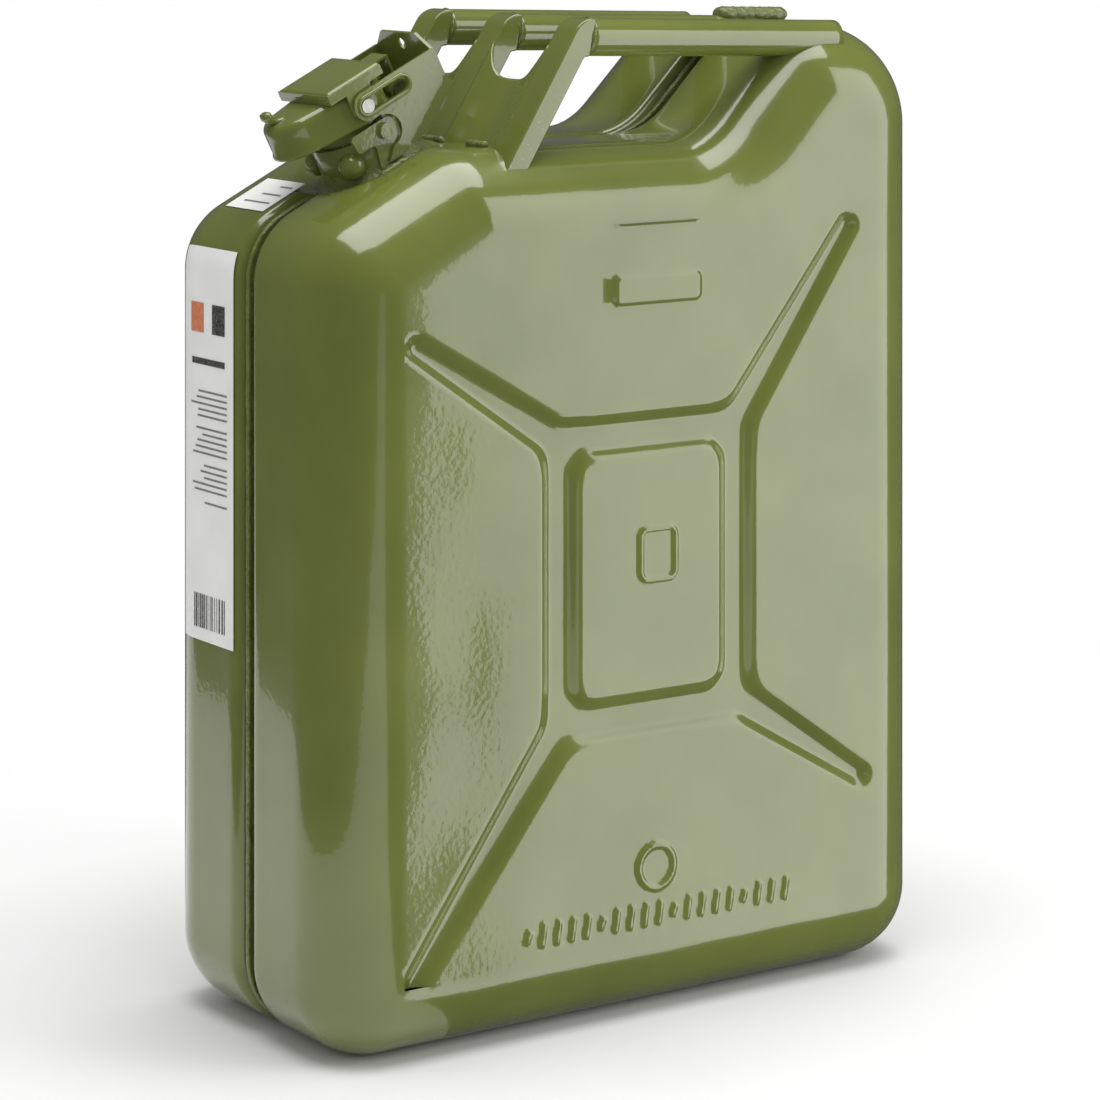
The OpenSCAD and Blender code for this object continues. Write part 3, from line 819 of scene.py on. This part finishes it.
def leg(name, y):
    """A front leg folded from sheet, with a round shoulder where it turns into the grip."""
    low = TROUGH_Z - 12 * MM
    grip_low = GRIP_TOP - 2 * GRIP_R
    corners = [
        (leg_front_x(low), low, 1 * MM),
        (leg_front_x(low) + LEG_DEPTH, low, 1 * MM),
        (leg_front_x(grip_low) + LEG_DEPTH, grip_low, 2 * MM),
        (MITRE_X, grip_low, 1 * MM),
        (MITRE_X + MITRE_LEAN, GRIP_TOP, 1 * MM),
        (leg_front_x(GRIP_TOP), GRIP_TOP, 12 * MM),
    ]
    outline, _ = rounded_path(corners, math.radians(9), 40 * MM)
    count = len(outline)
    points = [(x, y + side * LEG_HALF, z) for side in (LEFT, RIGHT) for x, z in outline]
    faces = [(i, (i + 1) % count, count + (i + 1) % count, count + i) for i in range(count)]
    faces += [tuple(range(count)), tuple(range(count, 2 * count))]
    bevel(build(name, points, faces, FITTING_PAINT, "can", merge=1e-5), 1.6 * MM, 4, 50)


def grip(name, y, replaced):
    """A round grip from the mitre to the hump."""
    top = GRIP_TOP - GRIP_R
    path = []
    for x in np.linspace(MITRE_X + 1.5 * MM, GRIP_REAR, 40):
        path.append((x, y, top - (x - MITRE_X) * math.sin(GRIP_FALL)))
    points, faces = tube(path, [GRIP_R] * len(path), sides=40)
    build(name, points, faces, FITTING_PAINT, "can", replaces=[replaced])


def leg_web(side, name):
    """The sheet between two legs: hollow from side to side, with a U-shaped notch at its top."""
    rows, columns = 30, 40
    hollow = 7 * MM
    notch_low, notch_high = TROUGH_Z + 30 * MM, TROUGH_Z + 47 * MM
    points = []
    for i in range(rows):
        for j in range(columns):
            across = j / (columns - 1)
            y = side * (LEG_HALF - 1 * MM + across * (PITCH - 2 * LEG_HALF + 2 * MM))
            low = TROUGH_Z - float(rim_depth(y)) - 3 * MM
            high = notch_low + (notch_high - notch_low) * abs(2 * across - 1) ** 3.2
            z = low + (high - low) * i / (rows - 1)
            back = hollow * math.sin(math.pi * across) ** 1.3
            points.append((leg_front_x(z) + 0.3 * MM + back, y, z))
    web = build(name, points, grid_faces(rows, columns), FITTING_PAINT, "can")
    thicken(web, 1.3 * MM, 0)


def mitre_seam(name, y):
    """The welded seam where a leg meets its grip."""
    bead_r = 0.6 * MM
    seam_r = GRIP_R - 0.1 * MM
    sides = 8
    ring = []
    for a in np.linspace(0, 2 * math.pi, 32, endpoint=False):
        height = GRIP_TOP - GRIP_R + seam_r * math.cos(a)
        x = MITRE_X + MITRE_LEAN * (height - GRIP_TOP + 2 * GRIP_R) / (2 * GRIP_R) + bead_r
        ring.append((x, y + seam_r * math.sin(a), height))
    points = []
    for place in ring:
        out = Vector((0, place[1] - y, place[2] - GRIP_TOP + GRIP_R)).normalized()
        for k in range(sides):
            a = 2 * math.pi * k / sides
            around = math.cos(a) * out + math.sin(a) * Vector((1, 0, 0))
            points.append(Vector(place) + bead_r * around)
    points += points[:sides]
    faces = grid_faces(len(ring) + 1, sides, closed=True)
    build(name, ripple(points, 0.1 * MM, 13), faces, WELD_PAINT, "can")


for handle, handle_y in (("left_handle", -PITCH), ("centre_handle", 0.0), ("right_handle", PITCH)):
    leg(handle + "_leg", handle_y)
    grip(handle + "_grip", handle_y, handle)
    mitre_seam(handle + "_mitre", handle_y)
leg_web(LEFT, "left_web")
leg_web(RIGHT, "right_web")


def foot_bead(name, near_y, far_y, replaces=()):
    """A lumpy bead across the foot of a leg or a web."""
    x, z = LEG_FOOT_X - 0.8 * MM, TROUGH_Z + 0.8 * MM
    path, radii = capsule((x, near_y, z), (x, far_y, z), 1.9 * MM, 50)
    points, faces = tube(path, radii, sides=14)
    build(name, ripple(points, 0.3 * MM, 19), faces, WELD_PAINT, "can", replaces=replaces)


WEB_BEAD = (32 * MM, 45 * MM)      # the outer beads lie between these distances from the seam
foot_bead("left_foot_bead", -WEB_BEAD[1], -WEB_BEAD[0], ["handle_welds"])
foot_bead("centre_foot_bead", -7 * MM, 7 * MM)
foot_bead("right_foot_bead", *WEB_BEAD)


def centre_grip_bead():
    """The long bead on the rear of the centre grip, where it meets the hump."""
    height = GRIP_TOP - 3.4 * MM
    path, radii = capsule((104 * MM, 0, height), (140 * MM, 0, height - 1 * MM), 3.6 * MM, 60)
    points, faces = tube(path, radii, sides=24, stretch=1.6)
    build("centre_grip_bead", ripple(points, 0.4 * MM, 17), faces, WELD_PAINT, "can")


centre_grip_bead()


# ---- materials of the CAD nodes that stay ---------------------------------------------------
def keep_node(name, material, edge=0.35 * MM):
    """Gives a CAD node its paint and small rounded edges."""
    node = NODES[name]
    for slot in node.material_slots:
        slot.material = material
    if edge:
        weld = node.modifiers.new("join", "WELD")
        weld.merge_threshold = 1e-6
        bevel(node, edge, 2, 30)
    return node


for kept in ("neck", "neck_lugs", "left_hook_plate", "right_hook_plate", "hinge_bracket",
             "lid_saddle", "lever"):
    keep_node(kept, FITTING_PAINT)
for kept in ("hinge_pin", "lever_pins", "breather_tube", "breather_clip"):
    keep_node(kept, ZINC, 0)
keep_node("lid_gasket", RUBBER, 0)


# ---- stage: floor, lights, world and camera ---------------------------------------------------
def floor():
    """A pale floor. In mirror reflections it ends a little in front of the spout end."""
    size = 6.0
    nodes = Nodes("floor")
    tone = nodes.ramp(nodes.noise(2, 3), [(0.3, (0.86, 0.86, 0.86)), (0.8, (0.90, 0.90, 0.90))])
    nodes.set(Base_Color=tone, Roughness=nodes.ramp(nodes.noise(9), [(0.3, 0.6), (0.8, 0.75)]))
    place = nodes.add("ShaderNodeSeparateXYZ")
    nodes.link(nodes.add("ShaderNodeNewGeometry").outputs["Position"], place.inputs[0])
    behind = nodes.add("ShaderNodeMath", operation="GREATER_THAN")
    behind.inputs[1].default_value = -0.1
    nodes.link(place.outputs[0], behind.inputs[0])
    beyond = nodes.add("ShaderNodeMath", operation="LESS_THAN")
    beyond.inputs[1].default_value = -0.52
    nodes.link(place.outputs[0], beyond.inputs[0])
    outside = nodes.add("ShaderNodeMath", operation="ADD")
    nodes.link(behind.outputs[0], outside.inputs[0])
    nodes.link(beyond.outputs[0], outside.inputs[1])
    unseen = nodes.add("ShaderNodeMath", operation="MULTIPLY")
    nodes.link(outside.outputs[0], unseen.inputs[0])
    nodes.link(nodes.add("ShaderNodeLightPath").outputs["Is Glossy Ray"], unseen.inputs[1])
    clear = nodes.add("ShaderNodeBsdfTransparent")
    either = nodes.add("ShaderNodeMixShader")
    nodes.link(unseen.outputs[0], either.inputs[0])
    nodes.link(nodes.shader.outputs[0], either.inputs[1])
    nodes.link(clear.outputs[0], either.inputs[2])
    # Away from the object the floor runs into the white behind it.
    distance = nodes.add("ShaderNodeVectorMath", operation="LENGTH")
    nodes.link(nodes.add("ShaderNodeNewGeometry").outputs["Position"], distance.inputs[0])
    fade = nodes.add("ShaderNodeMapRange")
    fade.inputs["From Min"].default_value = 0.22
    fade.inputs["From Max"].default_value = 0.75
    nodes.link(distance.outputs["Value"], fade.inputs["Value"])
    fade_seen = nodes.add("ShaderNodeMath", operation="MULTIPLY")
    nodes.link(fade.outputs["Result"], fade_seen.inputs[0])
    nodes.link(nodes.add("ShaderNodeLightPath").outputs["Is Camera Ray"], fade_seen.inputs[1])
    white = nodes.add("ShaderNodeEmission")
    far_floor = nodes.add("ShaderNodeMixShader")
    nodes.link(fade_seen.outputs[0], far_floor.inputs[0])
    nodes.link(either.outputs[0], far_floor.inputs[1])
    nodes.link(white.outputs[0], far_floor.inputs[2])
    nodes.link(far_floor.outputs[0], nodes.tree.nodes["Material Output"].inputs["Surface"])
    mesh = bpy.data.meshes.new("floor")
    corners = [(-size, -size, 0), (size, -size, 0), (size, size, 0), (-size, size, 0)]
    mesh.from_pydata(corners, [], [(0, 1, 2, 3)])
    mesh.materials.append(nodes.material)
    plane = bpy.data.objects.new("floor", mesh)
    bpy.context.scene.collection.objects.link(plane)


def softbox(name, place, target, size, power):
    """A white rectangular lamp that faces a target."""
    lamp = bpy.data.lights.new(name, "AREA")
    lamp.shape = "RECTANGLE"
    lamp.size, lamp.size_y = size
    lamp.energy = power
    holder = bpy.data.objects.new(name, lamp)
    holder.location = place
    holder.rotation_euler = (Vector(target) - Vector(place)).to_track_quat("-Z", "Y").to_euler()
    bpy.context.scene.collection.objects.link(holder)
    return holder


def world():
    """White behind the object, a dim studio in its reflections."""
    scene_world = bpy.data.worlds.new("studio")
    scene_world.use_nodes = True
    bpy.context.scene.world = scene_world
    tree = scene_world.node_tree
    background = tree.nodes["Background"]
    path = tree.nodes.new("ShaderNodeLightPath")
    tone = tree.nodes.new("ShaderNodeMix")
    tone.data_type = "RGBA"
    tone.inputs[6].default_value = (0.55, 0.55, 0.55, 1)
    tone.inputs[7].default_value = (0.10, 0.10, 0.10, 1)
    tree.links.new(path.outputs["Is Glossy Ray"], tone.inputs["Factor"])
    seen = tree.nodes.new("ShaderNodeMix")
    seen.data_type = "RGBA"
    seen.inputs[7].default_value = (1.0, 1.0, 1.0, 1)
    tree.links.new(path.outputs["Is Camera Ray"], seen.inputs["Factor"])
    tree.links.new(tone.outputs[2], seen.inputs[6])
    tree.links.new(seen.outputs[2], background.inputs["Color"])


def camera():
    """Level camera off the spout-end corner, with a vertical lens shift."""
    place = (-1.0319, -1.5049, 0.5472)
    looks_along = (0.56522, 0.82494, 0)
    lens_shift = -0.63295
    data = bpy.data.cameras.new("camera")
    data.sensor_width = 36
    data.lens = 122.34
    holder = bpy.data.objects.new("camera", data)
    holder.location = place
    holder.rotation_euler = Vector(looks_along).to_track_quat("-Z", "Y").to_euler()
    bpy.context.scene.collection.objects.link(holder)
    bpy.context.scene.camera = holder
    # The shift belongs to this viewpoint alone: a camera moved elsewhere looks straight at the can.
    shift = data.driver_add("shift_y").driver
    variable = shift.variables.new()
    variable.name = "x"
    variable.type = "TRANSFORMS"
    variable.targets[0].id = holder
    variable.targets[0].transform_type = "LOC_X"
    variable.targets[0].transform_space = "WORLD_SPACE"
    shift.expression = f"{lens_shift} if abs(x - {place[0]}) < 0.001 else 0.0"


bpy.context.scene.view_settings.view_transform = "Standard"
floor()
world()
camera()
softbox("right_wall", place=(1.95, -1.5, 0.4), target=(1.95, 0.0, 0.4), size=(2.3, 3.0), power=60)
softbox("overhead", place=(0.0, -0.2, 2.2), target=(0.0, 0.0, 0.2), size=(2.0, 1.6), power=40)
